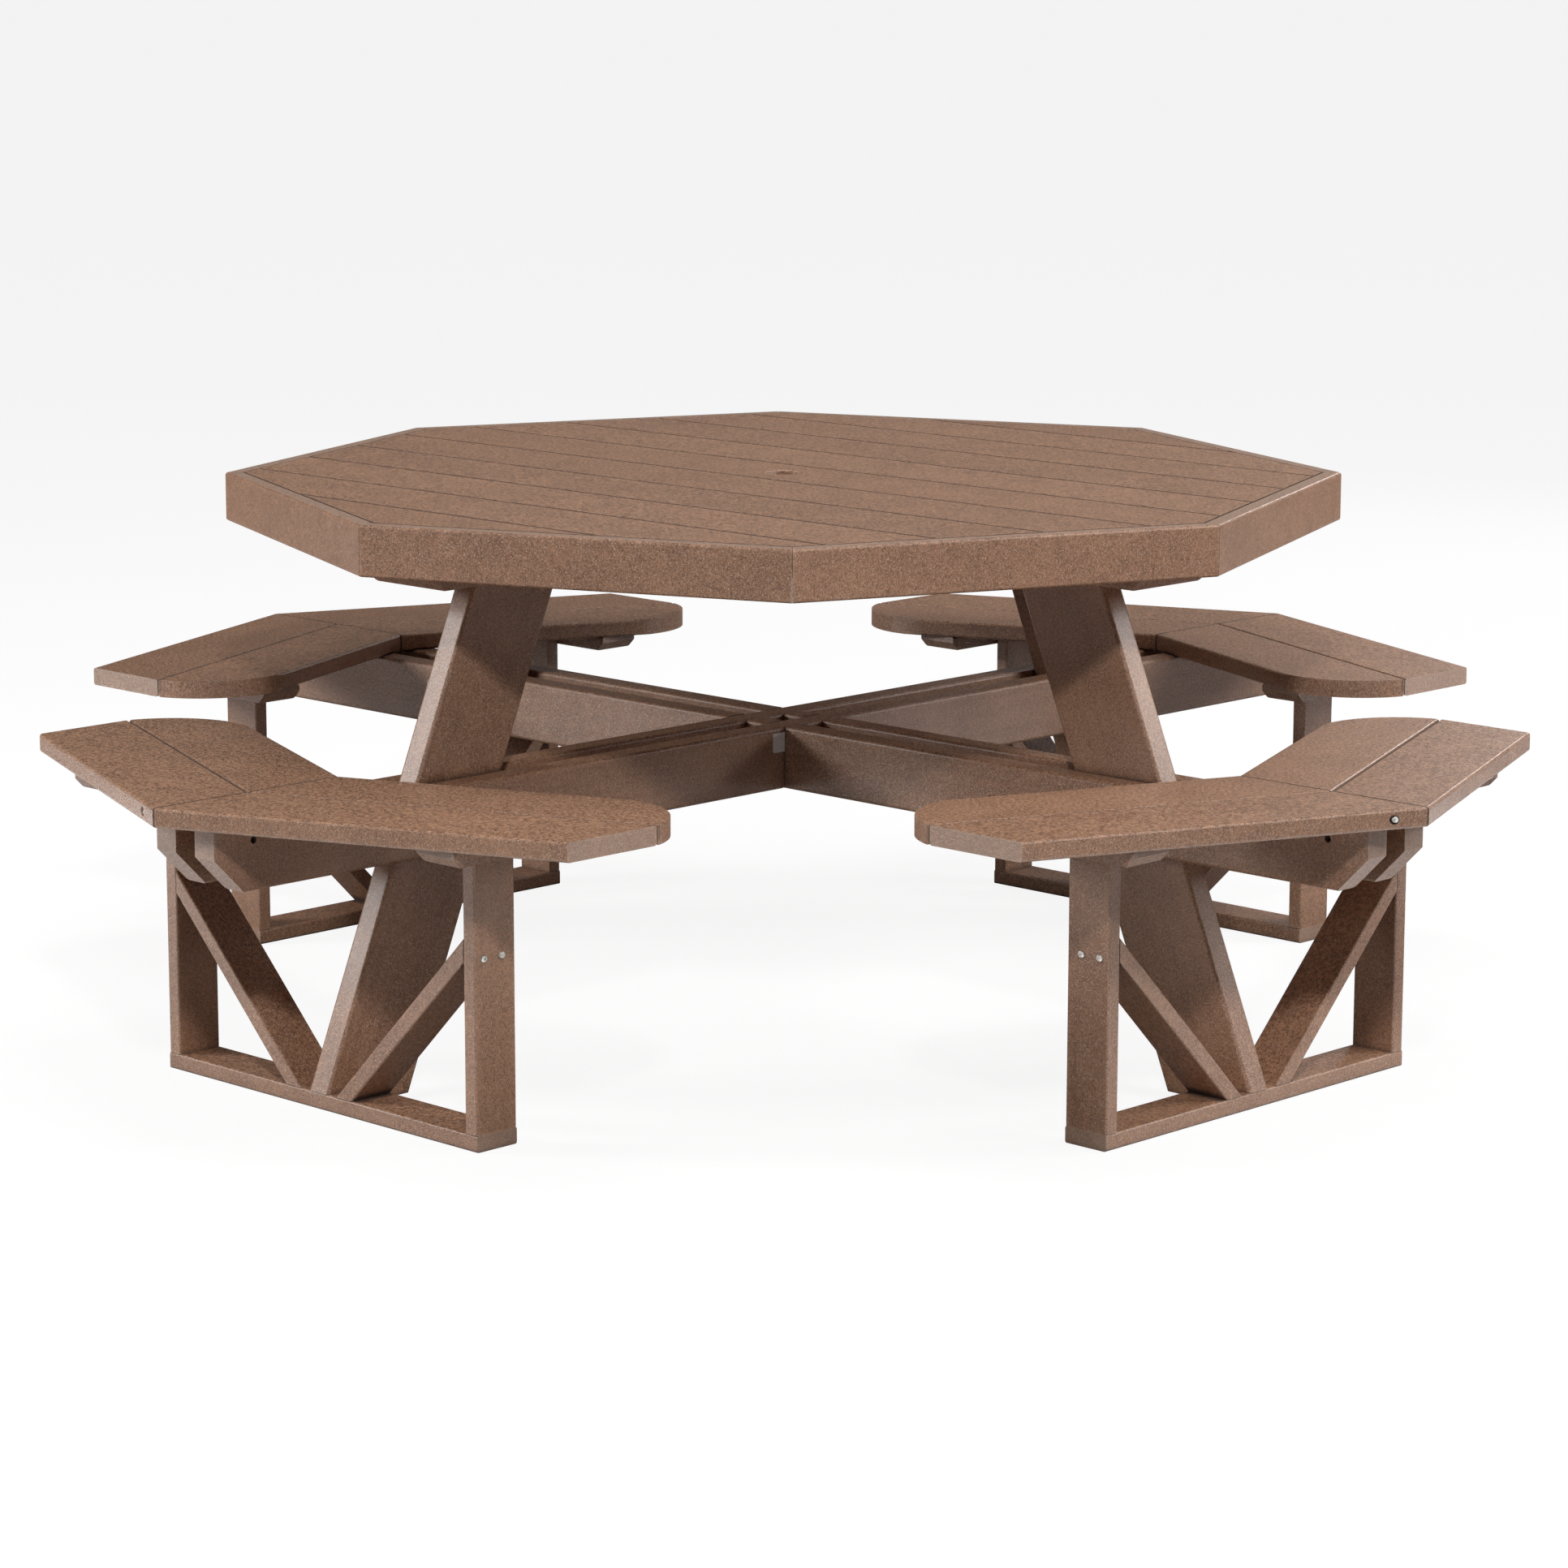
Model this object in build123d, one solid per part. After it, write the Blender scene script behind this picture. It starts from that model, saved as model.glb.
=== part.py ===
from build123d import *
import math
import os

# Octagonal picnic table with four chevron benches, built from plastic lumber.
# Millimetres, +Z up, origin on the ground at the middle of the table.
# The seat beams run along X and Y, and the slats of the top run along X.
# Each bench is drawn on the +X side and turned a quarter turn at a time:
# x is then the distance from the middle (radial) and y runs along the bench (tangential).

# ---- lumber ------------------------------------------------------------------
PLANK_W = 139.7          # 5.5 in board
PLANK_T = 25.4           # 1 in board
RIPPED_W = 68.3          # a 5.5 in board sawn into two
FRAME_T = 22.2           # 7/8 in board of the bench frames
BEAM_T = 38.1            # 2 in nominal board
BEAM_H = 88.9            # 2x4 on edge
PLANK_EDGE_R = 4.0       # rounded long edges
FRAME_EDGE_R = 3.0
BEAM_EDGE_R = 5.0
EASE = 1.5               # eased edges of cut ends

# ---- table -------------------------------------------------------------------
TABLE_H = 762.0
ACROSS_FLATS = 1454.0
SIDES = 8
HALF_TURN = 180.0 / SIDES            # 22.5 degrees: octagon mitre and leg slant
SLAT_GAP = 1.8
SLATS = 11
SLAT_END_PLAY = 0.5      # between the slats' ends and the rim
RIM_GAP = 0.3            # half of the open joint between rim boards
BATTEN_X = (-420.0, 0.0, 420.0)
BATTEN_HALF = (550.0, 722.0, 550.0)
CROSS_HALF = 722.0                   # half length of the boards under the top
CROSS_BEVEL = 24.0
UMBRELLA_R = 25.4                    # 2 in umbrella hole
HOLE_EASE = 2.0

# ---- benches -----------------------------------------------------------------
SEAT_H = 437.5
SEAT_TIP = 1131.0        # radial distance of the outer mitre
ARM_END = 525.0          # tangential distance of the arm's square-cut end
PLANK_GAP = 1.5
MITRE_GAP = 1.6
ROUND_R = 127.0          # rounded end of the inner plank
SKID_OUT = 871.6         # outer face of skid, uprights and leg foot
SKID_HALF = 309.7
BEAM_HALF = 1081.0
BEAM_CHAMFER = 47.6
BRACE_FOOT = 66.5        # tangential distance of the brace's lower edge on the skid
CLEAT_IN = 700.0
CLEAT_OUT = 966.0
CLEAT_BEVEL = 12.7
LAP_PLAY = 0.6

# ---- fasteners ---------------------------------------------------------------
SCREW_R = 2.5
HEAD_R = 4.75
HEAD_H = 3.2
FRAME_SCREW_L = 60.0
DECK_SCREW_L = 41.0
DRILL_PLAY = 0.15
SINK = HEAD_H + 0.4      # depth of a recess that hides a screw head
POCKET = 15.0            # deep pocket in the side of a beam
BOLT_R = 6.35
BOLT_HEAD_R = 14.0
BOLT_HEAD_H = 6.0
BOLT_TAIL = 18.0
NUT_AF = 19.0
NUT_H = 10.5
WASHER_R = 16.0
WASHER_T = 2.5
LAG_R = 4.0
LAG_L = 105.0
LAG_HEAD_AF = 13.0
LAG_HEAD_H = 5.5
LAG_SINK = 9.0
DRIVE = 2.4              # square driver socket
POINT_R = 0.4            # blunt point of a screw

# ---- where the fasteners go --------------------------------------------------
FRAME_SCREW_X = (827.0, 857.0)       # up an upright or into it, from the middle
UPRIGHT_SCREW_Z = 250.0
LEG_SCREW_X = (815.0, 836.0)         # up through the skid into the leg
MITRE_SCREW_T = 46.0                 # head's distance along the bench from the mitre
MITRE_SCREW_TURN = 118.0             # direction it is driven in, across the mitre
MITRE_SCREW_DEEP = 6.0               # head's seat below the outer edge
MITRE_HOLE_R = 6.0
SPACER_SCREW_X = 1017.0
SPACER_SCREW_Z = 389.0
CLEAT_SCREW_X = (735.0, 805.0, 875.0, 935.0)
BATTEN_SCREW_OFF = 45.0              # each side of a slat's middle
BATTEN_SCREW_END = 15.0              # least distance from the batten's end
CROSS_SCREW_OFF = 30.0               # each side of the middle of the board under the top
CROSS_SCREW_ALONG = (180.0, 400.0)   # on the board under the long batten
LEG_BOLT_EDGE = 25.0                 # above the beam's bottom, below its top
LEG_BOLT_OFF = 30.0                  # each side of the leg's middle
LAG_OFF = (-18.0, 45.0)              # from the middle of the leg's top

# ---- label -------------------------------------------------------------------
LABEL_W = 23.5
LABEL_H = 28.0
LABEL_T = 0.3
LABEL_R = 3.0
LABEL_Z = 376.5          # lower edge

# ---- worked out --------------------------------------------------------------
TAN_H = math.tan(math.radians(HALF_TURN))
COS_H = math.cos(math.radians(HALF_TURN))
SIN_H = math.sin(math.radians(HALF_TURN))
APOTHEM = ACROSS_FLATS / 2
SLAT_Z = TABLE_H - PLANK_T           # underside of the slats
BATTEN_Z = SLAT_Z - PLANK_T          # underside of the battens
CROSS_Z = BATTEN_Z - BEAM_T          # underside of the boards under the top
SEAT_Z = SEAT_H - PLANK_T            # underside of the seats, top of the beams
BEAM_Z = SEAT_Z - BEAM_H
SKID_IN = SKID_OUT - RIPPED_W
SKID_MID = (SKID_OUT + SKID_IN) / 2
UPRIGHT_IN = SKID_HALF - FRAME_T
PAIR_MID = BEAM_T                    # middle of each board of a beam pair
PAIR_OUT = 1.5 * BEAM_T
LEG_WIDE = PLANK_W / COS_H           # width of the slanted leg measured level
SPACER_OUT = 1047.0
SPACER_IN = SPACER_OUT - RIPPED_W
SPACER_Z = SEAT_Z - BEAM_T
BENCHES = ("east", "north", "west", "south")
BIG = 4000.0


def save(name, solids):
    """Write one sub-part: a single solid, or a group of separate solids."""
    group = solids if isinstance(solids, list) else [solids]
    flat = [s for item in group for s in item.solids()]
    shape = flat[0] if len(flat) == 1 else Compound(flat)
    export_step(shape, f"parts/{name}.step")


def slab(x0, x1, y0, y1, z0, z1):
    """Plain box between two corners."""
    box = Box(x1 - x0, y1 - y0, z1 - z0, align=(Align.MIN, Align.MIN, Align.MIN))
    return Pos(x0, y0, z0) * box


def stock(x0, x1, y0, y1, z0, z1, edge_r):
    """Board along X with its four long edges rounded."""
    board = slab(x0, x1, y0, y1, z0, z1)
    return fillet(board.edges().filter_by(Axis.X), edge_r)


def octagon(apothem, z0, z1):
    """Octagonal prism with corners on the X and Y axes."""
    face = RegularPolygon(apothem, SIDES, major_radius=False, rotation=0)
    return Pos(0, 0, z0) * extrude(face, z1 - z0)


def end_bevel(x, z, size, out):
    """Wedge that cuts the lower corner (x, z) of a board's end at 45 degrees."""
    corner = Polygon((x, z + size), (x - out * size, z), (x + out * size, z - size),
                     align=None)
    return Plane.XZ * extrude(corner, BIG / 2, both=True)


def ease(shape, axis, size=EASE):
    """Break the sharp corners that run along one axis."""
    return chamfer(shape.edges().filter_by(axis), size)


# ---- fasteners: each is drawn with its head at the origin, shank along +X -----
def screw(length):
    """Pan-head screw: head behind x = 0, pointed shank in front of it."""
    turned = Rot(0, 90, 0)
    head = turned * Pos(0, 0, -HEAD_H / 2) * Cylinder(HEAD_R, HEAD_H)
    head = fillet(head.edges().filter_by(GeomType.CIRCLE).sort_by(Axis.X)[0], HEAD_H * 0.6)
    head -= Pos(-HEAD_H, 0, 0) * Box(HEAD_H, DRIVE, DRIVE)
    shank_l = length - 2 * SCREW_R
    shank = turned * Pos(0, 0, shank_l / 2) * Cylinder(SCREW_R, shank_l)
    tip = turned * Pos(0, 0, length - SCREW_R) * Cone(SCREW_R, POINT_R, 2 * SCREW_R)
    return head + shank + tip


def carriage_bolt():
    """Domed head at x < 0, shank through the beam pair and the leg."""
    turned = Rot(0, 90, 0)
    ball_r = (BOLT_HEAD_R**2 + BOLT_HEAD_H**2) / (2 * BOLT_HEAD_H)
    ball = Pos(ball_r - BOLT_HEAD_H, 0, 0) * Sphere(ball_r)
    dome = ball & slab(-BOLT_HEAD_H, 0, -BIG, BIG, -BIG, BIG)
    length = 2 * PAIR_OUT + BOLT_TAIL
    return dome + turned * Pos(0, 0, length / 2) * Cylinder(BOLT_R, length)


def nut_and_washer():
    """Washer against x = 0 and a hexagon nut outside it."""
    hole = Rot(0, 90, 0) * Cylinder(BOLT_R + DRILL_PLAY, BIG)
    washer = Rot(0, 90, 0) * Pos(0, 0, WASHER_T / 2) * Cylinder(WASHER_R, WASHER_T)
    face = RegularPolygon(NUT_AF / 2, 6, major_radius=False)
    nut = Pos(WASHER_T, 0, 0) * Rot(0, 90, 0) * extrude(face, NUT_H)
    return [washer - hole, nut - hole]


def lag_screw():
    """Hexagon head above z = 0, shank pointing down."""
    face = RegularPolygon(LAG_HEAD_AF / 2, 6, major_radius=False)
    head = extrude(face, LAG_HEAD_H)
    shank_l = LAG_L - 2 * LAG_R
    shank = Pos(0, 0, -shank_l / 2) * Cylinder(LAG_R, shank_l)
    tip = Pos(0, 0, -LAG_L + LAG_R) * Cone(POINT_R, LAG_R, 2 * LAG_R)
    return head + shank + tip


def aim(x, y, z, direction):
    """Place that puts a screw's head at a point, driven along a direction."""
    turns = {
        "+x": (0, 0, 0),
        "-x": (0, 0, 180),
        "+y": (0, 0, 90),
        "-y": (0, 0, -90),
        "+z": (0, -90, 0),
        "-z": (0, 90, 0),
    }
    return Location((x, y, z), turns[direction])


def drill(place, length, pocket=0.0, pocket_r=HEAD_R + DRILL_PLAY):
    """Hole for a screw, with an optional pocket behind its head."""
    hole = Rot(0, 90, 0) * Cylinder(SCREW_R + DRILL_PLAY, length + 1.0,
                                    align=(Align.CENTER, Align.CENTER, Align.MIN))
    if pocket:
        hole += Rot(0, -90, 0) * Cylinder(pocket_r, pocket + 1.0,
                                          align=(Align.CENTER, Align.CENTER, Align.MIN))
    return place * hole


# ---- where the screws go -------------------------------------------------------
def upright_screws():
    """Bench frame: two screws through each upright into the brace behind it."""
    places = []
    for x in FRAME_SCREW_X:
        places.append(aim(x, SKID_HALF, UPRIGHT_SCREW_Z, "-y"))
        places.append(aim(x, -SKID_HALF, UPRIGHT_SCREW_Z, "+y"))
    return places


def skid_screws():
    """Bench frame: up through the skid into the uprights and the leg."""
    places = [aim(x, 0, SINK, "+z") for x in LEG_SCREW_X]
    for x in FRAME_SCREW_X:
        for side in (-1, 1):
            places.append(aim(x, side * (SKID_HALF - FRAME_T / 2), SINK, "+z"))
    return places


def block_screws():
    """Up through the spacer block into the outer seat planks on each side of the mitre."""
    inset = RIPPED_W / 5
    side = BEAM_T / 4
    return [
        aim(SPACER_IN + inset, -side, SPACER_Z, "+z"),
        aim(SPACER_OUT - inset, side, SPACER_Z, "+z"),
    ]


def pocket_screws():
    """Level, from deep pockets in both beam boards into the spacer block."""
    y = PAIR_OUT - POCKET
    return [
        aim(SPACER_SCREW_X, y, SPACER_SCREW_Z, "-y"),
        aim(SPACER_SCREW_X, -y, SPACER_SCREW_Z, "+y"),
    ]


def mitre_screw():
    """Across the mitre from the outer edge of the -Y arm into the other arm."""
    mouth = (SEAT_TIP - TAN_H * MITRE_SCREW_T, -MITRE_SCREW_T, SEAT_H - PLANK_T / 2)
    return Location(mouth, (0, 0, MITRE_SCREW_TURN)) * Pos(MITRE_SCREW_DEEP, 0, 0)


def cleat_screws():
    """Up through each cleat, two into each seat plank."""
    y = SKID_HALF + RIPPED_W / 2
    places = []
    for x in CLEAT_SCREW_X:
        for side in (-1, 1):
            places.append(aim(x, side * y, SEAT_Z - FRAME_T, "+z"))
    return places


def batten_screws():
    """Up through the battens, two into each slat."""
    places = []
    for x, half in zip(BATTEN_X, BATTEN_HALF):
        for k in range(SLATS):
            for side in (-1, 1):
                y = slat_mid(k) + side * BATTEN_SCREW_OFF
                if abs(y) < half - BATTEN_SCREW_END:
                    places.append(aim(x, y, BATTEN_Z + SINK, "+z"))
    return places


def cross_screws():
    """Up through the boards under the top into the battens."""
    places = []
    for side in (-CROSS_SCREW_OFF, CROSS_SCREW_OFF):
        for x in (BATTEN_X[0], BATTEN_X[-1]):
            places.append(aim(x, side, CROSS_Z, "+z"))
        for y in CROSS_SCREW_ALONG:
            places.append(aim(side, -y, CROSS_Z, "+z"))
            places.append(aim(side, y, CROSS_Z, "+z"))
    return places


def leg_line(z):
    """Radial distance of the leg's outer edge at a height."""
    return SKID_OUT - TAN_H * (z - FRAME_T)


def leg_bolts():
    """Two bolts per leg, through both beam boards."""
    places = []
    for z, side in ((BEAM_Z + LEG_BOLT_EDGE, -1), (SEAT_Z - LEG_BOLT_EDGE, 1)):
        x = leg_line(z) - LEG_WIDE / 2 + side * LEG_BOLT_OFF
        places.append(aim(x, -PAIR_OUT, z, "+y"))
    return places


def lag_places():
    """Two lag screws down through the board under the top into each leg."""
    x = leg_line(CROSS_Z) - LEG_WIDE / 2
    z = BATTEN_Z - LAG_SINK
    return [Pos(x + off, 0, z) for off in LAG_OFF]


def all_round(places):
    """The same places on all four benches."""
    return [Rot(0, 0, 90 * k) * place for k in range(4) for place in places]


# ---- table top -----------------------------------------------------------------
def slat_mid(k):
    return (k - (SLATS - 1) / 2) * (PLANK_W + SLAT_GAP)


def umbrella_hole():
    return Pos(0, 0, TABLE_H - 50) * Cylinder(UMBRELLA_R, 120)


def slat(k):
    """One board of the top, trimmed to the inside of the rim."""
    y = slat_mid(k)
    board = stock(-APOTHEM * 1.1, APOTHEM * 1.1, y - PLANK_W / 2, y + PLANK_W / 2,
                  SLAT_Z, TABLE_H, PLANK_EDGE_R)
    board &= octagon(APOTHEM - PLANK_T - SLAT_END_PLAY, SLAT_Z - 1, TABLE_H + 1)
    for place in batten_screws():
        if abs(place.position.Y - y) < PLANK_W / 2:
            board -= drill(place, DECK_SCREW_L)
    if k == (SLATS - 1) // 2:
        board -= umbrella_hole()
        mouth = board.edges().filter_by(GeomType.CIRCLE).group_by(Axis.Z)[-1]
        board = fillet(mouth, HOLE_EASE)
    return board


def rim_board(k):
    """One side of the octagonal rim, on edge, mitred at both ends."""
    reach = APOTHEM * TAN_H + 20
    board = stock(-reach, reach, -APOTHEM, PLANK_T - APOTHEM, TABLE_H - RIPPED_W, TABLE_H,
                  PLANK_EDGE_R)
    start = -RIM_GAP / SIN_H
    tip = APOTHEM + 50
    wedge = Polygon((0, start), (tip * TAN_H, start - tip), (-tip * TAN_H, start - tip),
                    align=None)
    board &= extrude(wedge, BIG / 2, both=True)
    return Rot(0, 0, 90 + HALF_TURN + 45 * k) * board


def batten(x, half):
    """Flat board under the slats, square to them."""
    board = stock(-half, half, -PLANK_W / 2, PLANK_W / 2, BATTEN_Z, SLAT_Z, PLANK_EDGE_R)
    board = Pos(x, 0, 0) * Rot(0, 0, 90) * board
    for place in batten_screws():
        if abs(place.position.X - x) < PLANK_W / 2:
            board -= drill(place, DECK_SCREW_L, pocket=SINK)
    for place in cross_screws():
        if abs(place.position.X - x) < PLANK_W / 2:
            board -= drill(place, FRAME_SCREW_L)
    if x == 0:
        board -= umbrella_hole()
    return board


def cross_board(along_y):
    """Long board under the top that the legs meet, lapped with its twin in the middle."""
    board = stock(-CROSS_HALF, CROSS_HALF, -PLANK_W / 2, PLANK_W / 2, CROSS_Z, BATTEN_Z,
                  BEAM_EDGE_R)
    for end in (-1, 1):
        board -= end_bevel(end * CROSS_HALF, CROSS_Z, CROSS_BEVEL, end)
    lap = PLANK_W / 2 + LAP_PLAY / 2
    mid_z = CROSS_Z + BEAM_T / 2
    if along_y:
        board -= slab(-lap, lap, -PLANK_W, PLANK_W, CROSS_Z - 1, mid_z)
    else:
        board -= slab(-lap, lap, -PLANK_W, PLANK_W, mid_z, BATTEN_Z + 1)
    turn = 90 if along_y else 0
    board = Rot(0, 0, turn) * board
    for place in cross_screws():
        on_y_board = abs(place.position.X) < PLANK_W / 2
        if on_y_board == along_y:
            board -= drill(place, FRAME_SCREW_L)
    well = Cylinder(LAG_HEAD_AF * 0.75, 2 * LAG_SINK)
    bore = Cylinder(LAG_R + DRILL_PLAY, BIG)
    for half in (0, 180):
        for place in lag_places():
            spot = Rot(0, 0, turn + half) * place
            board -= spot * Pos(0, 0, LAG_SINK) * well
            board -= spot * bore
    return board - umbrella_hole()


# ---- beams and legs --------------------------------------------------------------
def beam_board(along_y, side):
    """2x4 on edge; four of them cross in the middle with half laps."""
    y = side * PAIR_MID
    board = stock(-BEAM_HALF, BEAM_HALF, y - BEAM_T / 2, y + BEAM_T / 2, BEAM_Z, SEAT_Z,
                  BEAM_EDGE_R)
    for end in (-1, 1):
        board -= end_bevel(end * BEAM_HALF, BEAM_Z, BEAM_CHAMFER, end)
    mid_z = (BEAM_Z + SEAT_Z) / 2
    lap = BEAM_T / 2 + LAP_PLAY / 2
    for x in (-PAIR_MID, PAIR_MID):
        if along_y:
            board -= slab(x - lap, x + lap, -BIG, BIG, BEAM_Z - 1, mid_z)
        else:
            board -= slab(x - lap, x + lap, -BIG, BIG, mid_z, SEAT_Z + 1)
    for half in (0, 180):
        for place in leg_bolts():
            board -= Rot(0, 0, half) * place * Rot(0, 90, 0) * Cylinder(BOLT_R + DRILL_PLAY, BIG)
        for place in pocket_screws():
            board -= drill(Rot(0, 0, half) * place, DECK_SCREW_L, pocket=POCKET)
    return Rot(0, 0, 90 if along_y else 0) * board


def leg():
    """2x6 slanting outwards, housed over the skid, on the +X side."""
    foot_in = leg_line(0) - LEG_WIDE
    outline = Polygon(
        (foot_in, 0),
        (SKID_IN, 0),
        (SKID_IN, FRAME_T),
        (SKID_OUT, FRAME_T),
        (leg_line(CROSS_Z), CROSS_Z),
        (leg_line(CROSS_Z) - LEG_WIDE, CROSS_Z),
        align=None,
    )
    board = Plane.XZ * extrude(outline, BEAM_T / 2, both=True)
    slant = [
        e for e in board.edges().filter_by(GeomType.LINE)
        if e.length > CROSS_Z - FRAME_T
    ]
    board = fillet(slant, BEAM_EDGE_R)
    for place in leg_bolts():
        board -= place * Rot(0, 90, 0) * Cylinder(BOLT_R + DRILL_PLAY, BIG)
    for place in lag_places():
        board -= place * Pos(0, 0, -LAG_L / 2) * Cylinder(LAG_R + DRILL_PLAY, LAG_L + 2)
    for place in skid_screws():
        board -= drill(place, FRAME_SCREW_L)
    return board


def spacer_block():
    """Short block between the two beam boards, under the seat's mitre."""
    block = slab(SPACER_IN, SPACER_OUT, -BEAM_T / 2, BEAM_T / 2, SPACER_Z, SEAT_Z)
    block = ease(block, Axis.Y)
    for place in block_screws():
        block -= drill(place, FRAME_SCREW_L)
    for place in pocket_screws():
        block -= drill(place, DECK_SCREW_L)
    return block


# ---- benches ---------------------------------------------------------------------
def both(shape):
    """A piece and its mirror image on the other arm of the bench."""
    return [shape, mirror(shape, Plane.XZ)]


def arm(shape):
    """From the arm's own axes (x along it, y inwards) to the bench's."""
    return Location((SEAT_TIP, 0, 0), (0, 0, 90 + HALF_TURN)) * shape


def seat_holes(planks):
    """Screw holes of the seat planks; the arm on -Y also takes the mitre screw's head."""
    tools = [drill(p, DECK_SCREW_L) for p in cleat_screws()]
    tools += [drill(p, FRAME_SCREW_L) for p in block_screws()]
    tools.append(drill(mitre_screw(), FRAME_SCREW_L, pocket=2 * MITRE_SCREW_DEEP,
                       pocket_r=MITRE_HOLE_R))
    done = []
    for plank in planks:
        box = plank.bounding_box()
        for tool in tools:
            if box.overlaps(tool.bounding_box()):
                plank -= tool
        done.append(plank)
    return done


def outer_plank():
    """Outer seat board of one arm: mitred at the tip, cut square to the beam at the end."""
    board = arm(stock(-100, 700, 0, PLANK_W, SEAT_Z, SEAT_H, PLANK_EDGE_R))
    board &= slab(0, BIG, MITRE_GAP / 2, ARM_END, 0, BIG)
    return board


def inner_plank():
    """Inner seat board of one arm, with a large rounded end."""
    seam = PLANK_W + PLANK_GAP
    edge = seam + PLANK_W
    # along the arm: where the seam meets the arm's end, then back to the round's centre
    seam_end = (ARM_END - seam * SIN_H) / COS_H + 2 * seam * SIN_H / COS_H
    centre = seam_end - math.sqrt(ROUND_R**2 - (PLANK_W - ROUND_R) ** 2)
    board = stock(-100, 800, seam, edge, SEAT_Z, SEAT_H, PLANK_EDGE_R)
    body = Pos((centre - 100) / 2, (seam + edge) / 2) * Rectangle(centre + 100, PLANK_W)
    disc = Pos(centre, edge - ROUND_R) * Circle(ROUND_R)
    strip = Pos(centre + ROUND_R / 2, (seam + edge) / 2) * Rectangle(ROUND_R + 2, PLANK_W)
    plan = body + (disc & strip)
    board &= extrude(plan, BIG / 2, both=True)
    board = arm(board)
    return board & slab(0, BIG, MITRE_GAP / 2, BIG, 0, BIG)


def skid():
    """Flat board on the ground that carries one bench frame."""
    board = stock(-SKID_HALF, SKID_HALF, -RIPPED_W / 2, RIPPED_W / 2, 0, FRAME_T, FRAME_EDGE_R)
    board = Pos(SKID_MID, 0, 0) * Rot(0, 0, 90) * board
    for place in skid_screws():
        board -= drill(place, FRAME_SCREW_L, pocket=SINK)
    return board


def upright():
    """Board standing on the skid's end, up to the seat."""
    board = stock(FRAME_T, SEAT_Z, -RIPPED_W / 2, RIPPED_W / 2, -FRAME_T / 2, FRAME_T / 2,
                  FRAME_EDGE_R)
    turned = Rot(0, -90, 0) * board
    turned = Rot(0, 0, 90) * turned
    board = Pos(SKID_MID, SKID_HALF - FRAME_T / 2, 0) * turned
    for place in upright_screws():
        board -= drill(place, DECK_SCREW_L)
    for place in skid_screws():
        board -= drill(place, FRAME_SCREW_L)
    return board


def brace():
    """Slanting board from the skid beside the leg up to the upright."""
    rise = UPRIGHT_IN - BRACE_FOOT
    level = FRAME_T * math.sqrt(2)
    outline = Polygon(
        (BRACE_FOOT - level, FRAME_T),
        (BRACE_FOOT, FRAME_T),
        (UPRIGHT_IN, FRAME_T + rise),
        (UPRIGHT_IN, FRAME_T + rise + level),
        align=None,
    )
    board = Pos(SKID_MID, 0, 0) * (Plane.YZ * extrude(outline, RIPPED_W / 2, both=True))
    long_edges = [e for e in board.edges() if e.length > rise]
    board = fillet(long_edges, FRAME_EDGE_R)
    for place in upright_screws():
        board -= drill(place, DECK_SCREW_L)
    return board


def cleat():
    """Flat board under the seat planks, outside the upright, bevelled at both ends."""
    low = SEAT_Z - FRAME_T
    board = stock(CLEAT_IN, CLEAT_OUT, SKID_HALF, SKID_HALF + RIPPED_W, low, SEAT_Z,
                  FRAME_EDGE_R)
    for x, out in ((CLEAT_IN, -1), (CLEAT_OUT, 1)):
        board -= end_bevel(x, low, CLEAT_BEVEL, out)
    for place in cleat_screws():
        board -= drill(place, DECK_SCREW_L)
    return board


def label():
    """Plain label on the -Y bench's beam, against the crossing beam."""
    sheet = slab(PAIR_OUT, PAIR_OUT + LABEL_T, -PAIR_OUT - LABEL_W, -PAIR_OUT,
                 LABEL_Z, LABEL_Z + LABEL_H)
    return fillet(sheet.edges().filter_by(Axis.X).group_by(Axis.Y)[0], LABEL_R)


# ---- writing the sub-parts ---------------------------------------------------------
def write_top():
    for k in range(SLATS):
        save(f"slat_{k + 1:02d}", slat(k))
    for k in range(SIDES):
        save(f"rim_board_{k + 1}", rim_board(k))
    save("battens", [batten(x, half) for x, half in zip(BATTEN_X, BATTEN_HALF)])
    save("cross_board_x", cross_board(False))
    save("cross_board_y", cross_board(True))


def write_frame():
    for along_y, name in ((False, "x"), (True, "y")):
        save(f"beam_board_{name}_minus", beam_board(along_y, -1))
        save(f"beam_board_{name}_plus", beam_board(along_y, 1))
    one_leg = leg()
    one_block = spacer_block()
    for k, side in enumerate(BENCHES):
        save(f"leg_{side}", Rot(0, 0, 90 * k) * one_leg)
    save("spacer_blocks", [Rot(0, 0, 90 * k) * one_block for k in range(4)])


def write_benches():
    pieces = {
        "outer_planks": seat_holes(both(outer_plank())),
        "inner_planks": seat_holes(both(inner_plank())),
        "uprights": both(upright()),
        "braces": both(brace()),
        "cleats": both(cleat()),
        "skid": [skid()],
    }
    for k, side in enumerate(BENCHES):
        for name, group in pieces.items():
            save(f"{side}_{name}", [Rot(0, 0, 90 * k) * piece for piece in group])


def write_fasteners():
    long_screw = screw(FRAME_SCREW_L)
    short_screw = screw(DECK_SCREW_L)
    long_places = all_round(skid_screws() + block_screws() + [mitre_screw()]) + cross_screws()
    short_places = all_round(upright_screws() + cleat_screws() + pocket_screws())
    short_places += batten_screws()
    save("frame_screws", [place * long_screw for place in long_places])
    save("deck_screws", [place * short_screw for place in short_places])
    set_pieces = [carriage_bolt()] + [Pos(2 * PAIR_OUT, 0, 0) * p for p in nut_and_washer()]
    save("leg_bolts", [place * p for place in all_round(leg_bolts()) for p in set_pieces])
    save("leg_lag_screws", [place * lag_screw() for place in all_round(lag_places())])


os.makedirs("parts", exist_ok=True)
write_top()
write_frame()
write_benches()
write_fasteners()
save("label", label())
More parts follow.
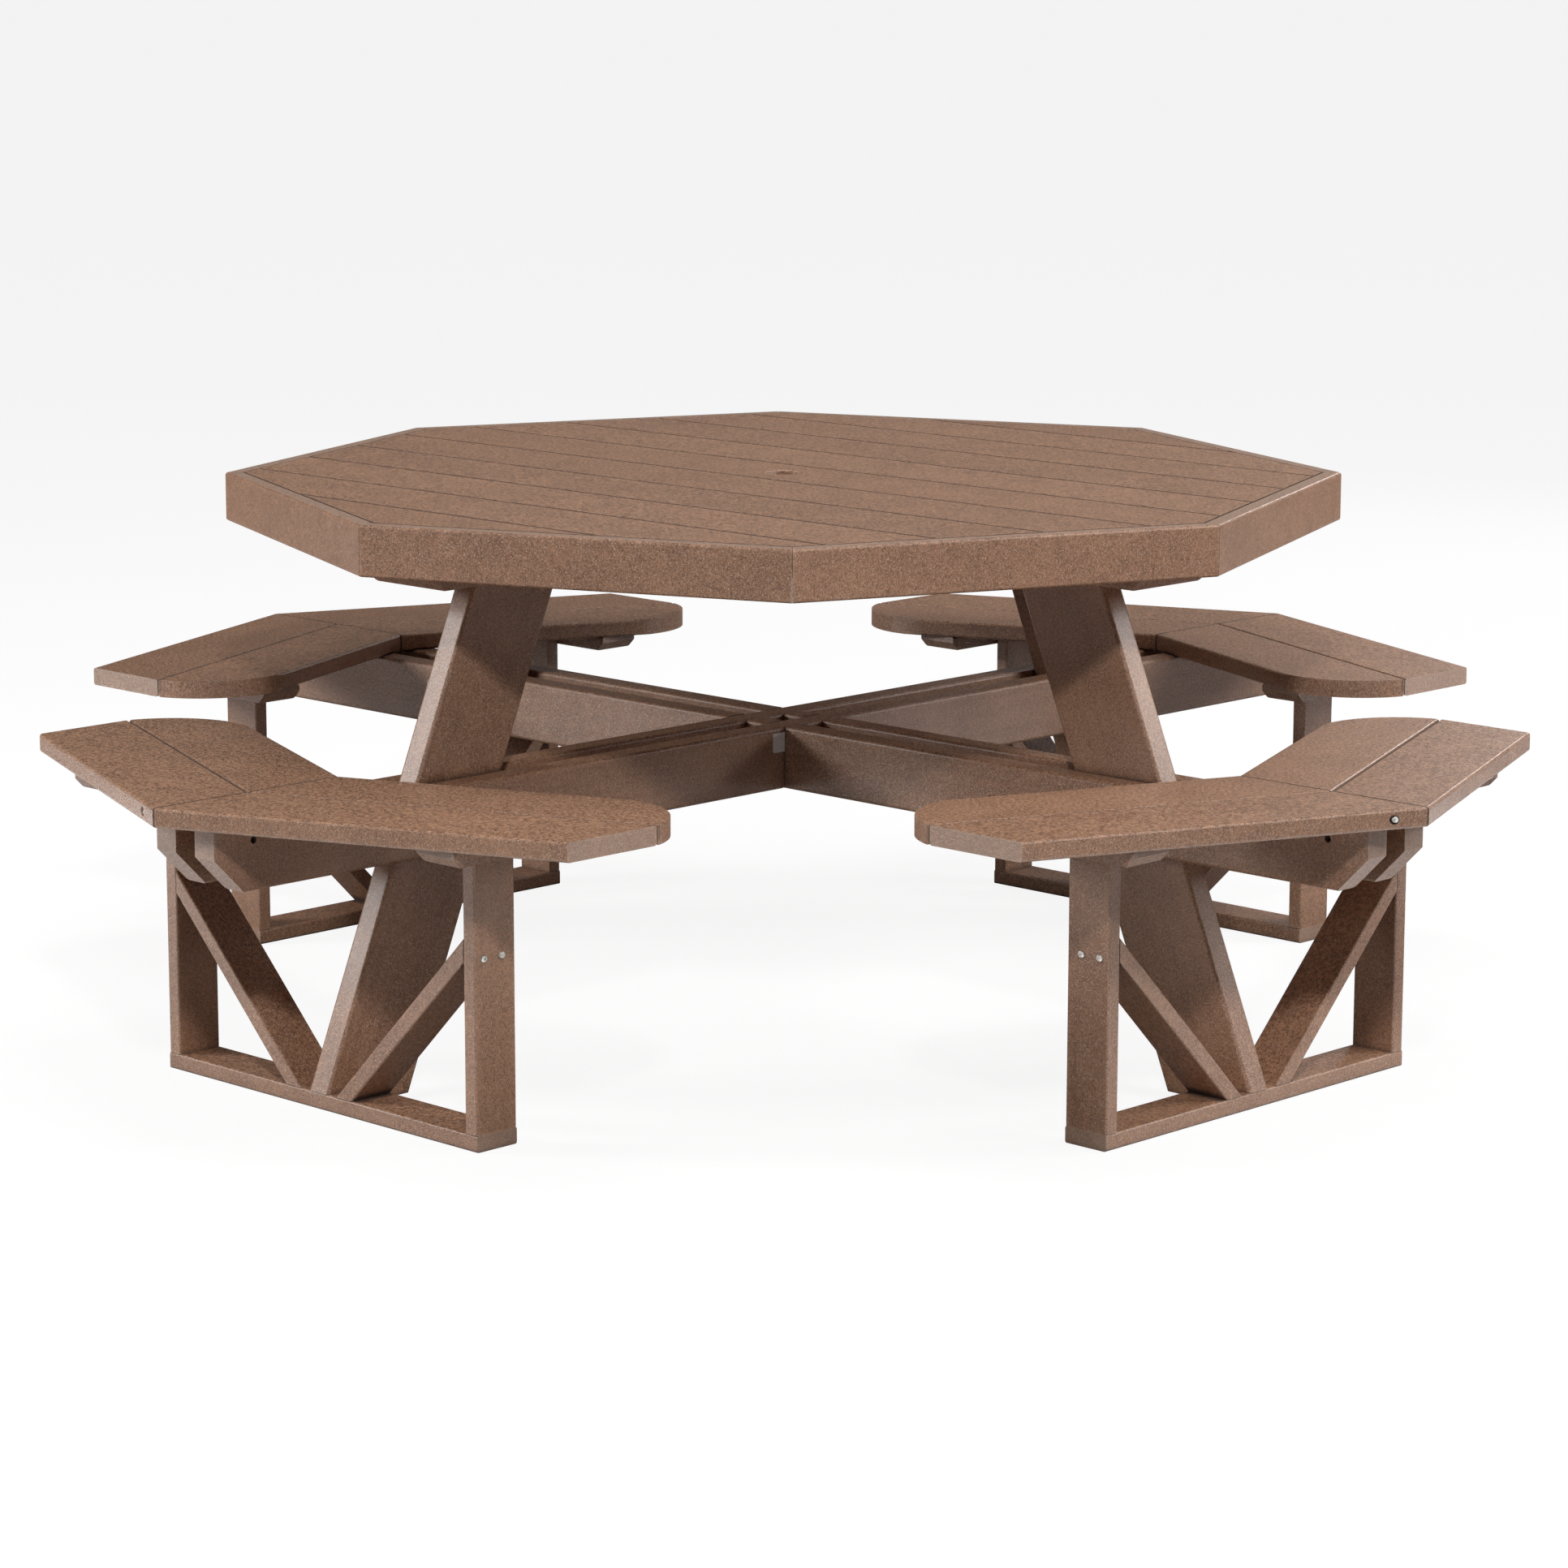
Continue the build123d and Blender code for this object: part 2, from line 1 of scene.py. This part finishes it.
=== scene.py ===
import math

import bpy
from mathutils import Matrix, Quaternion, Vector

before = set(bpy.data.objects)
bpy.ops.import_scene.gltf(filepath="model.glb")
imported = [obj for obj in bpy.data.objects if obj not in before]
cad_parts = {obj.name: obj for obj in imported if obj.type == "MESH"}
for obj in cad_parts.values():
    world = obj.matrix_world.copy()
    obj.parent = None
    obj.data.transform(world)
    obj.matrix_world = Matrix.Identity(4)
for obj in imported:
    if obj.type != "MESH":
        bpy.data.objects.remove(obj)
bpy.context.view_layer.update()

scene = bpy.context.scene
scene.view_settings.view_transform = "Standard"

# All lengths are in metres and all powers in watts. Azimuths are degrees from +X.
X, Y, Z = (1, 0, 0), (0, 1, 0), (0, 0, 1)
SIDES = {"east": 0, "north": 90, "west": 180, "south": 270}
EIGHTH = 45              # angle between neighbouring sides of the octagon
HALF_EIGHTH = 22.5
LEG_LEAN = 22.5          # from upright
WHITE = (1, 1, 1, 1)

# ---- camera: the photograph's viewing angle -------------------------------------------
CAMERA_AT = Vector((4.523, -4.642, 1.560))
LOOK_AT = Vector((0.0005, 0.0, 0.3143))
SENSOR = 36.0
LENS = 106.1
ROLL = 0.0016
CLIP_END = 200

camera = bpy.data.objects.new("camera", bpy.data.cameras.new("camera"))
scene.collection.objects.link(camera)
camera.data.sensor_width = SENSOR
camera.data.lens = LENS
camera.data.clip_end = CLIP_END
camera.location = CAMERA_AT
camera.rotation_mode = "QUATERNION"
aim = (LOOK_AT - CAMERA_AT).to_track_quat("-Z", "Y")
camera.rotation_quaternion = aim @ Quaternion(Z, ROLL)
scene.camera = camera


# ---- small helpers --------------------------------------------------------------------
class Tree:
    """Thin wrapper that makes and wires shader nodes."""

    def __init__(self, tree):
        self.tree = tree
        self.tree.nodes.clear()

    def add(self, kind, inputs=None, **props):
        node = self.tree.nodes.new(kind)
        for key, value in props.items():
            setattr(node, key, value)
        for key, value in (inputs or {}).items():
            self.put(node.inputs[key], value)
        return node

    def put(self, socket, value):
        if isinstance(value, bpy.types.NodeSocket):
            self.tree.links.new(value, socket)
        else:
            socket.default_value = value

    def math(self, operation, a, b=0.0, clamp=False):
        node = self.add("ShaderNodeMath", {0: a, 1: b}, operation=operation, use_clamp=clamp)
        return node.outputs[0]

    def times(self, a, b):
        return self.math("MULTIPLY", a, b)

    def plus(self, a, b, clamp=False):
        return self.math("ADD", a, b, clamp)

    def rest_of(self, a):
        """1 - a."""
        return self.math("SUBTRACT", 1.0, a)

    def swing(self, pattern, amount):
        """A 0-1 pattern turned into a swing round zero."""
        return self.times(self.math("SUBTRACT", pattern, 0.5), amount)

    def vector(self, operation, a, b=None):
        inputs = {0: a} if b is None else {0: a, 1: b}
        return self.add("ShaderNodeVectorMath", inputs, operation=operation)

    def dot(self, a, b):
        return self.vector("DOT_PRODUCT", a, b).outputs["Value"]

    def length(self, a):
        return self.vector("LENGTH", a).outputs["Value"]

    def xyz(self, a):
        return self.add("ShaderNodeSeparateXYZ", {0: a}).outputs

    def place(self):
        return self.add("ShaderNodeTexCoord").outputs["Object"]

    def noise(self, vector, scale, detail, rough):
        node = self.add("ShaderNodeTexNoise", {
            "Vector": vector, "Scale": scale, "Detail": detail, "Roughness": rough})
        return node.outputs["Fac"]

    def ramp(self, fac, low, high):
        """0 below low, 1 above high."""
        node = self.add("ShaderNodeMapRange", {
            "Value": fac, "From Min": low, "From Max": high}, interpolation_type="SMOOTHSTEP")
        return node.outputs["Result"]

    def mix(self, fac, a, b):
        node = self.add("ShaderNodeMix", {0: fac, 6: a, 7: b}, data_type="RGBA")
        return node.outputs[2]

    def bump(self, height, strength, distance):
        node = self.add("ShaderNodeBump", {
            "Strength": strength, "Distance": distance, "Height": height})
        return node.outputs[0]

    def finish(self, shader):
        self.put(self.add("ShaderNodeOutputMaterial").inputs["Surface"], shader.outputs[0])


def new_material(name):
    material = bpy.data.materials.new(name)
    material.use_nodes = True
    return material, Tree(material.node_tree)


def rgb(r, g, b):
    """Display colour 0-255 to linear."""
    def one(v):
        v /= 255
        return v / 12.92 if v <= 0.04045 else ((v + 0.055) / 1.055) ** 2.4
    return one(r), one(g), one(b), 1.0


def grey(value):
    return value, value, value, 1


def level(degrees):
    """Level direction at an angle from +X."""
    a = math.radians(degrees)
    return math.cos(a), math.sin(a), 0


# ---- plastic lumber: colours ----------------------------------------------------------
DARK = rgb(115, 79, 57)
LIGHT = rgb(182, 136, 105)
SAWN = rgb(172, 150, 136)
FLECK = rgb(208, 180, 158)
# dark brown of the painted shade and dirt in corners and grooves
SHADE_AND_DIRT = rgb(46, 30, 23)

# patterns: noise scale, detail and roughness
SPECKLE = (430.0, 3.0, 0.7)
MOTTLE = (210.0, 2.0, 0.6)
GRIT = (620.0, 1.0, 0.5)
CLOUD = (14.0, 4.0, 0.6)
STREAK = (1.0, 3.0, 0.55)
STREAK_SIZE = (1 / 2.0, 1 / 90.0, 1 / 90.0)      # along the board, then across it both ways
SAW = (1.0, 2.0, 0.5)
SAW_SCALE = (60.0, 60.0, 900.0)
SAW_TURN = (0.3, 0.2, 0.9)

# how strongly each pattern shows
SPECKLE_SWING = 2.6
MOTTLE_UPRIGHT = 1.2
MOTTLE_FLAT = 3.4        # added on boards that lie flat to the sky
STREAK_SWING = 0.5
CLOUD_SWING = 0.7
FLECK_AMOUNT = 0.75
CUT_AMOUNT = 0.55
WORN_AMOUNT = 0.22
# strength of the painted shade and dirt
SHADE_AND_DIRT_AMOUNT = 0.85
SAW_AMOUNT = 0.5
TONE_SHIFT = (7.0, 3.0, 5.0)     # moves the patterns from one board to the next
TONE_SPREAD = 0.16

# where the effects start and are full
LYING_FLAT = (0.5, 0.95)         # how far a face looks up
FACING_CUT = (0.93, 0.97)        # how far it looks along the sawn ends' direction
FLECK_RANGE = (0.58, 0.67)       # in the grit
WEAR_RADIUS = 0.006
WEAR_BEND = (0.01, 0.12)
WEAR_CLOUD = (0.35, 0.65)
# reach of the ambient occlusion that paints shade and dirt into corners
CORNER_SHADE_REACH = 0.012
CORNER_SHADE_OPEN = (0.35, 0.85)        # how open a corner is when its painted shade and dirt are full and when they are gone
SAMPLES = 4                      # rays that look for wear and for painted corner shade

# surface
ROUGHNESS = 0.46
SPECKLE_ROUGH = 0.5
WORN_SMOOTH = 0.3
SHADE_AND_DIRT_ROUGH = 0.4
GRIT_RELIEF, MOTTLE_RELIEF, SAW_RELIEF = 0.35, 0.8, 0.8  # where the speckle's is 1
BUMP_STRENGTH = 0.55
BUMP_HEIGHT = 0.0012
REFRACTION = 1.5
SPECULAR = 0.78
COAT = 0.12
COAT_ROUGHNESS = 0.15

# ---- plastic lumber: where the joints between boards are ------------------------------
TABLE_TOP, SEAT_TOP = 0.762, 0.4375
SLAT_RING = 0.7016       # middle of the table to the inside of the rim boards
PLANK_SEAM = 0.9044      # middle of the table to the seam between two seat planks
GROOVE = 0.006           # half width of the groove that two rounded edges leave
UMBRELLA_HOLE = 0.0334   # no painted groove shade round the umbrella hole up to this radius
SLAT_GROOVE = (0.00003, 0.0004)          # depth at which the painted shade and dirt start and are full
SEAT_GROOVE = (0.0003, 0.0014)
GROOVE_FLOOR = (0.017, 0.022)            # depth at which it fades and ends
MITRE_LINE = (0.0012, 0.0030)            # how far the painted dark line along a mitre reaches
# strength of the painted shade and dirt in the grooves
SLAT_SHADE_AND_DIRT = 0.85
SEAT_SHADE_AND_DIRT = 0.75


def octagon_distance(t, place):
    """Distance from the middle, measured square to the octagon's sides."""
    ring = 0.0
    for step in range(4):
        across = t.dot(place, level(HALF_EIGHTH + EIGHTH * step))
        ring = t.math("MAXIMUM", ring, t.math("ABSOLUTE", across))
    return ring


def groove_shade_and_dirt(t, place, node, is_cut):
    """Painted shade and dirt: 1 down in the grooves between slats, seat planks and rim boards, 0
    elsewhere.
    """
    x, y, z = t.xyz(place)
    on_seat = "plank" in node
    depth = t.math("SUBTRACT", SEAT_TOP if on_seat else TABLE_TOP, z)
    below = t.ramp(depth, *(SEAT_GROOVE if on_seat else SLAT_GROOVE))
    sunk = t.times(below, t.rest_of(t.ramp(depth, *GROOVE_FLOOR)))
    if node.startswith("slat"):
        reach = t.length(t.vector("MULTIPLY", place, (1, 1, 0)).outputs[0])
        return t.times(t.times(sunk, SLAT_SHADE_AND_DIRT), t.math("GREATER_THAN", reach, UMBRELLA_HOLE))
    ring = octagon_distance(t, place)
    if node.startswith("rim"):
        return t.times(sunk, t.math("LESS_THAN", ring, SLAT_RING + GROOVE))
    off_seam = t.math("ABSOLUTE", t.math("SUBTRACT", ring, PLANK_SEAM))
    seam = t.times(sunk, t.math("LESS_THAN", off_seam, GROOVE))
    seam = t.times(seam, t.rest_of(is_cut))
    off_mitre = t.math("MINIMUM", t.math("ABSOLUTE", x), t.math("ABSOLUTE", y))
    mitre = t.rest_of(t.ramp(off_mitre, *MITRE_LINE))
    return t.times(t.math("MAXIMUM", seam, mitre), SEAT_SHADE_AND_DIRT)


def extruder_streaks(t, place, run):
    """Streaks drawn out along the board by the extruder."""
    turn = Vector(X).rotation_difference(Vector(run)).to_euler()
    along = t.add("ShaderNodeMapping", {"Vector": place, "Rotation": turn, "Scale": STREAK_SIZE},
                  vector_type="TEXTURE")
    return t.noise(along.outputs[0], *STREAK)


def saw_lines(t, place):
    """Fine lines that the saw leaves on a cut end."""
    along = t.add("ShaderNodeMapping", {
        "Vector": place, "Rotation": SAW_TURN, "Scale": SAW_SCALE})
    return t.noise(along.outputs[0], *SAW)


def edge_wear(t, normal, cloud):
    """1 along rounded edges, broken up by a large soft pattern."""
    rounded = t.add("ShaderNodeBevel", {"Radius": WEAR_RADIUS}, samples=SAMPLES)
    bent = t.rest_of(t.dot(rounded.outputs[0], normal))
    worn = t.times(t.ramp(bent, *WEAR_BEND), WORN_AMOUNT)
    return t.times(worn, t.ramp(cloud, *WEAR_CLOUD))


def corner_shade_and_dirt(t):
    """Painted shade and dirt from ambient occlusion: 1 deep in corners and joints, 0 in the open.
    """
    open_air = t.add("ShaderNodeAmbientOcclusion", {"Distance": CORNER_SHADE_REACH}, samples=SAMPLES)
    return t.rest_of(t.ramp(open_air.outputs["AO"], *CORNER_SHADE_OPEN))


def weathered_colour(t, patterns, normal, tone):
    """The speckled brown; boards lying flat to the sky are more blotchy than upright ones."""
    speckle, mottle, streak, cloud, grit = patterns
    flat = t.ramp(t.math("ABSOLUTE", t.dot(normal, Z)), *LYING_FLAT)
    weather = t.plus(MOTTLE_UPRIGHT, t.times(flat, MOTTLE_FLAT))
    body = t.swing(speckle, SPECKLE_SWING)
    body = t.plus(body, t.swing(mottle, weather))
    body = t.plus(body, t.swing(streak, STREAK_SWING))
    body = t.plus(body, t.swing(cloud, CLOUD_SWING))
    body = t.plus(body, 0.5 + tone, clamp=True)
    flecks = t.times(t.ramp(grit, *FLECK_RANGE), FLECK_AMOUNT)
    return t.mix(flecks, t.mix(body, DARK, LIGHT), FLECK)


def lumber(node, run, cut, tone):
    """Speckled recycled-plastic board.
    run is the board's long direction, cut the direction its sawn ends face,
    tone a small shift between boards."""
    material, t = new_material("lumber_" + node)
    place = t.place()
    shifted = t.vector("ADD", place, tuple(tone * shift for shift in TONE_SHIFT)).outputs[0]
    normal = t.add("ShaderNodeNewGeometry").outputs["Normal"]
    streak = extruder_streaks(t, shifted, run)
    speckle = t.noise(shifted, *SPECKLE)
    mottle = t.noise(shifted, *MOTTLE)
    grit = t.noise(shifted, *GRIT)
    cloud = t.noise(shifted, *CLOUD)
    colour = weathered_colour(t, (speckle, mottle, streak, cloud, grit), normal, tone)

    # sawn ends are paler
    is_cut = t.ramp(t.math("ABSOLUTE", t.dot(normal, cut)), *FACING_CUT)
    saw = saw_lines(t, shifted)
    sawn = t.mix(t.times(saw, SAW_AMOUNT), SAWN, colour)
    colour = t.mix(t.times(is_cut, CUT_AMOUNT), colour, sawn)

    # handled edges turn a little paler and smoother
    worn = edge_wear(t, normal, cloud)
    colour = t.mix(worn, colour, FLECK)

    # painted shade and dirt darken the corners and joints and leave them dull
    shade_and_dirt = corner_shade_and_dirt(t)
    if node.startswith(("slat", "rim")) or "plank" in node:
        shade_and_dirt = t.math("MAXIMUM", shade_and_dirt, groove_shade_and_dirt(t, place, node, is_cut))
    colour = t.mix(t.times(shade_and_dirt, SHADE_AND_DIRT_AMOUNT), colour, SHADE_AND_DIRT)

    rough = t.plus(ROUGHNESS, t.swing(speckle, SPECKLE_ROUGH))
    rough = t.math("SUBTRACT", rough, t.times(worn, WORN_SMOOTH))
    rough = t.plus(rough, t.times(shade_and_dirt, SHADE_AND_DIRT_ROUGH), clamp=True)

    relief = t.plus(speckle, t.times(grit, GRIT_RELIEF))
    relief = t.plus(relief, t.times(mottle, MOTTLE_RELIEF))
    relief = t.plus(relief, t.times(t.times(saw, is_cut), SAW_RELIEF))

    shader = t.add("ShaderNodeBsdfPrincipled", {
        "Base Color": colour, "Roughness": rough,
        "Normal": t.bump(relief, BUMP_STRENGTH, BUMP_HEIGHT)})
    shader.inputs["IOR"].default_value = REFRACTION
    shader.inputs["Specular IOR Level"].default_value = SPECULAR
    shader.inputs["Coat Weight"].default_value = COAT
    shader.inputs["Coat Roughness"].default_value = COAT_ROUGHNESS
    t.finish(shader)
    return material


def board_directions(node):
    """(long direction, direction of its sawn ends) of a node's boards."""
    if node.startswith("slat") or node.endswith(("_x", "x_minus", "x_plus")):
        return X, X
    if node.startswith("rim_board"):
        return level(HALF_EIGHTH + EIGHTH * int(node[-1])), Z
    if node.startswith("leg_"):
        out = level(SIDES[node.split("_")[1]])
        slant = math.radians(LEG_LEAN)
        return (-out[0] * math.sin(slant), -out[1] * math.sin(slant), math.cos(slant)), Z
    side, _, kind = node.partition("_")
    if side in SIDES:
        radial, tangent = level(SIDES[side]), level(SIDES[side] + 90)
        if kind == "uprights":
            return Z, Z
        if kind == "cleats":
            return radial, radial
        return tangent, tangent
    return Y, Y


def tone_of(node):
    """Small steady shift, worked out from the name, so that neighbouring boards differ a little."""
    number = sum((i + 3) * ord(c) for i, c in enumerate(node))
    return ((number * 37) % 101 / 100 - 0.5) * TONE_SPREAD


# ---- fasteners and label --------------------------------------------------------------
STAIN = rgb(150, 140, 128)
STAIN_CLOUD = (180.0, 3.0, 0.6)
STAIN_RANGE = (0.45, 0.75)
SCRATCH = (2600.0, 3.0, 0.7)
SCRATCH_ROUGH = 0.25
SCRATCH_BUMP = 0.2
FILM, FILM_SHADE = rgb(252, 252, 252), rgb(228, 227, 225)
FILM_MOTTLE = (700.0, 3.0, 0.6)
FILM_RANGE = (0.35, 0.75)
FILM_ROUGHNESS = 0.38
FILM_MOTTLE_ROUGH = 0.15
FILM_BUMP = 0.15
FINE_HEIGHT = 0.0002     # of both bumps


def label_film(name):
    """Plain white printed-film label, faintly mottled, with a satin face."""
    material, t = new_material(name)
    mottle = t.noise(t.place(), *FILM_MOTTLE)
    t.finish(t.add("ShaderNodeBsdfPrincipled", {
        "Base Color": t.mix(t.ramp(mottle, *FILM_RANGE), FILM, FILM_SHADE),
        "Roughness": t.plus(FILM_ROUGHNESS, t.times(mottle, FILM_MOTTLE_ROUGH)),
        "Normal": t.bump(mottle, FILM_BUMP, FINE_HEIGHT)}))
    return material


def steel(name, colour, base_rough):
    """Brushed stainless fastener, slightly stained."""
    material, t = new_material(name)
    place = t.place()
    scratch = t.noise(place, *SCRATCH)
    stain = t.noise(place, *STAIN_CLOUD)
    shader = t.add("ShaderNodeBsdfPrincipled", {
        "Base Color": t.mix(t.ramp(stain, *STAIN_RANGE), colour, STAIN),
        "Roughness": t.plus(base_rough, t.times(scratch, SCRATCH_ROUGH)),
        "Normal": t.bump(scratch, SCRATCH_BUMP, FINE_HEIGHT)})
    shader.inputs["Metallic"].default_value = 1.0
    t.finish(shader)
    return material


own_material = {
    "frame_screws": steel("screw_steel", rgb(225, 225, 222), 0.36),
    "deck_screws": steel("deck_screw_steel", rgb(222, 222, 218), 0.38),
    "label": label_film("label_film"),
}
own_material["leg_bolts"] = steel("bolt_steel", rgb(206, 206, 203), 0.38)
own_material["leg_lag_screws"] = own_material["leg_bolts"]

for node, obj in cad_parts.items():
    if node in own_material:
        material = own_material[node]
    else:
        run, cut = board_directions(node)
        material = lumber(node, run, cut, tone_of(node))
    obj.data.materials.clear()
    obj.data.materials.append(material)

# ---- floor ----------------------------------------------------------------------------
FLOOR_HALF = 60.0        # half its side
FLOOR_DROP = 0.0005      # keeps it clear of the undersides that stand on it
FLOOR_GLOW = 0.89        # what the camera sees of the floor without any light on it
FLOOR_TINT = grey(0.14)  # on top of the glow, so that shadows show
FLOOR_BOUNCE = grey(0.29)                # the light it throws back on the object
FLOOR_DIM = grey(0.30)                   # how the object's sheen shows it (a painted reflection),
FLOOR_SHINE = grey(1.9)                  # the painted brighter part in front of the benches
FLOOR_PATCH = (4.2, 4.2, 4.4, 1)         # and the two brightest painted patches, off to the sides
FRONT_BAND = ((0.80, 0.88), (1.9, 2.4))  # where the front part starts and ends
FRONT_NORTH = (0.35, 0.6)                # how far round it goes on the right
FRONT_WEST = (-2.5, -2.0)                # and on the left
PATCH_OUT = (1.2, 1.6)
PATCH_ASIDE = (0.6, 0.9)
PATCH_END = (2.30, 2.50)


def floor_sheen(t):
    """Painted reflection of the floor in the object's sheen: dim, bright in front, brightest in a
    patch on each side.
    """
    spot = t.place()
    east, north, _ = t.xyz(spot)
    west, south = t.times(east, -1.0), t.times(north, -1.0)
    ahead = t.math("MAXIMUM", east, south)
    starts, ends = FRONT_BAND
    band = t.math("SUBTRACT", t.ramp(ahead, *starts), t.ramp(ahead, *ends))
    front = t.rest_of(t.ramp(north, *FRONT_NORTH))
    bright = t.times(t.times(band, front), t.ramp(east, *FRONT_WEST))
    left = t.times(t.ramp(west, *PATCH_OUT), t.ramp(south, *PATCH_ASIDE))
    right = t.times(t.ramp(north, *PATCH_OUT), t.ramp(east, *PATCH_ASIDE))
    near = t.rest_of(t.ramp(t.length(spot), *PATCH_END))
    patch = t.times(t.math("MAXIMUM", left, right), near)
    return t.mix(patch, t.mix(bright, FLOOR_DIM, FLOOR_SHINE), FLOOR_PATCH)


def pale_floor(name):
    """Pale floor: one look for the camera, one for the light it throws, a painted reflection in the
    sheen.
    """
    material, t = new_material(name)
    ray = t.add("ShaderNodeLightPath").outputs
    thrown = t.mix(ray["Is Glossy Ray"], FLOOR_BOUNCE, floor_sheen(t))
    matt = t.add("ShaderNodeBsdfDiffuse", {
        "Color": t.mix(ray["Is Camera Ray"], thrown, FLOOR_TINT)})
    glow = t.add("ShaderNodeEmission", {
        "Color": WHITE, "Strength": t.times(ray["Is Camera Ray"], FLOOR_GLOW)})
    t.finish(t.add("ShaderNodeAddShader", {0: matt.outputs[0], 1: glow.outputs[0]}))
    return material


floor_mesh = bpy.data.meshes.new("floor")
floor_mesh.from_pydata(
    [(x * FLOOR_HALF, y * FLOOR_HALF, 0) for x, y in ((-1, -1), (1, -1), (1, 1), (-1, 1))],
    [], [(0, 1, 2, 3)])
floor_mesh.materials.append(pale_floor("floor"))
floor = bpy.data.objects.new("floor", floor_mesh)
floor.location.z = -FLOOR_DROP
scene.collection.objects.link(floor)

# ---- light ----------------------------------------------------------------------------
SKY = 0.03
LIGHT_TARGET = Vector((0, 0, 0.4))

scene.world = bpy.data.worlds.new("world")
scene.world.use_nodes = True
sky = Tree(scene.world.node_tree)
background = sky.add("ShaderNodeBackground", {"Color": WHITE, "Strength": SKY})
sky.put(sky.add("ShaderNodeOutputWorld").inputs["Surface"], background.outputs[0])


def softbox(name, azimuth, elevation, distance, width, height, power):
    """Rectangular light aimed at the middle of the table."""
    light = bpy.data.lights.new(name, "AREA")
    light.shape = "RECTANGLE"
    light.size = width
    light.size_y = height
    light.energy = power
    obj = bpy.data.objects.new(name, light)
    scene.collection.objects.link(obj)
    a, e = math.radians(azimuth), math.radians(elevation)
    way = Vector((math.cos(a) * math.cos(e), math.sin(a) * math.cos(e), math.sin(e)))
    obj.location = LIGHT_TARGET + way * distance
    obj.rotation_mode = "QUATERNION"
    obj.rotation_quaternion = (-way).to_track_quat("-Z", "Y")


LIGHTS = (
    # name, azimuth, elevation, distance, width, height, power
    ("key", -45, 35, 7.0, 0.45, 0.45, 166),
    ("high_right", 15, 40, 7.0, 1.5, 1.5, 72),
    ("side_left", -131, 19, 5.0, 1.3, 1.3, 124),
    ("side_right", 47, 21, 5.0, 1.2, 1.2, 71),
    ("upper_right", 45, 35, 5.0, 2.0, 2.0, 44),
    ("overhead", 0, 86, 6.0, 3.0, 3.0, 110),
    ("back", 135, 30, 6.0, 3.0, 2.0, 8),
    ("glint", 108, 17, 6.0, 0.8, 0.8, 30),
)
for light in LIGHTS:
    softbox(*light)
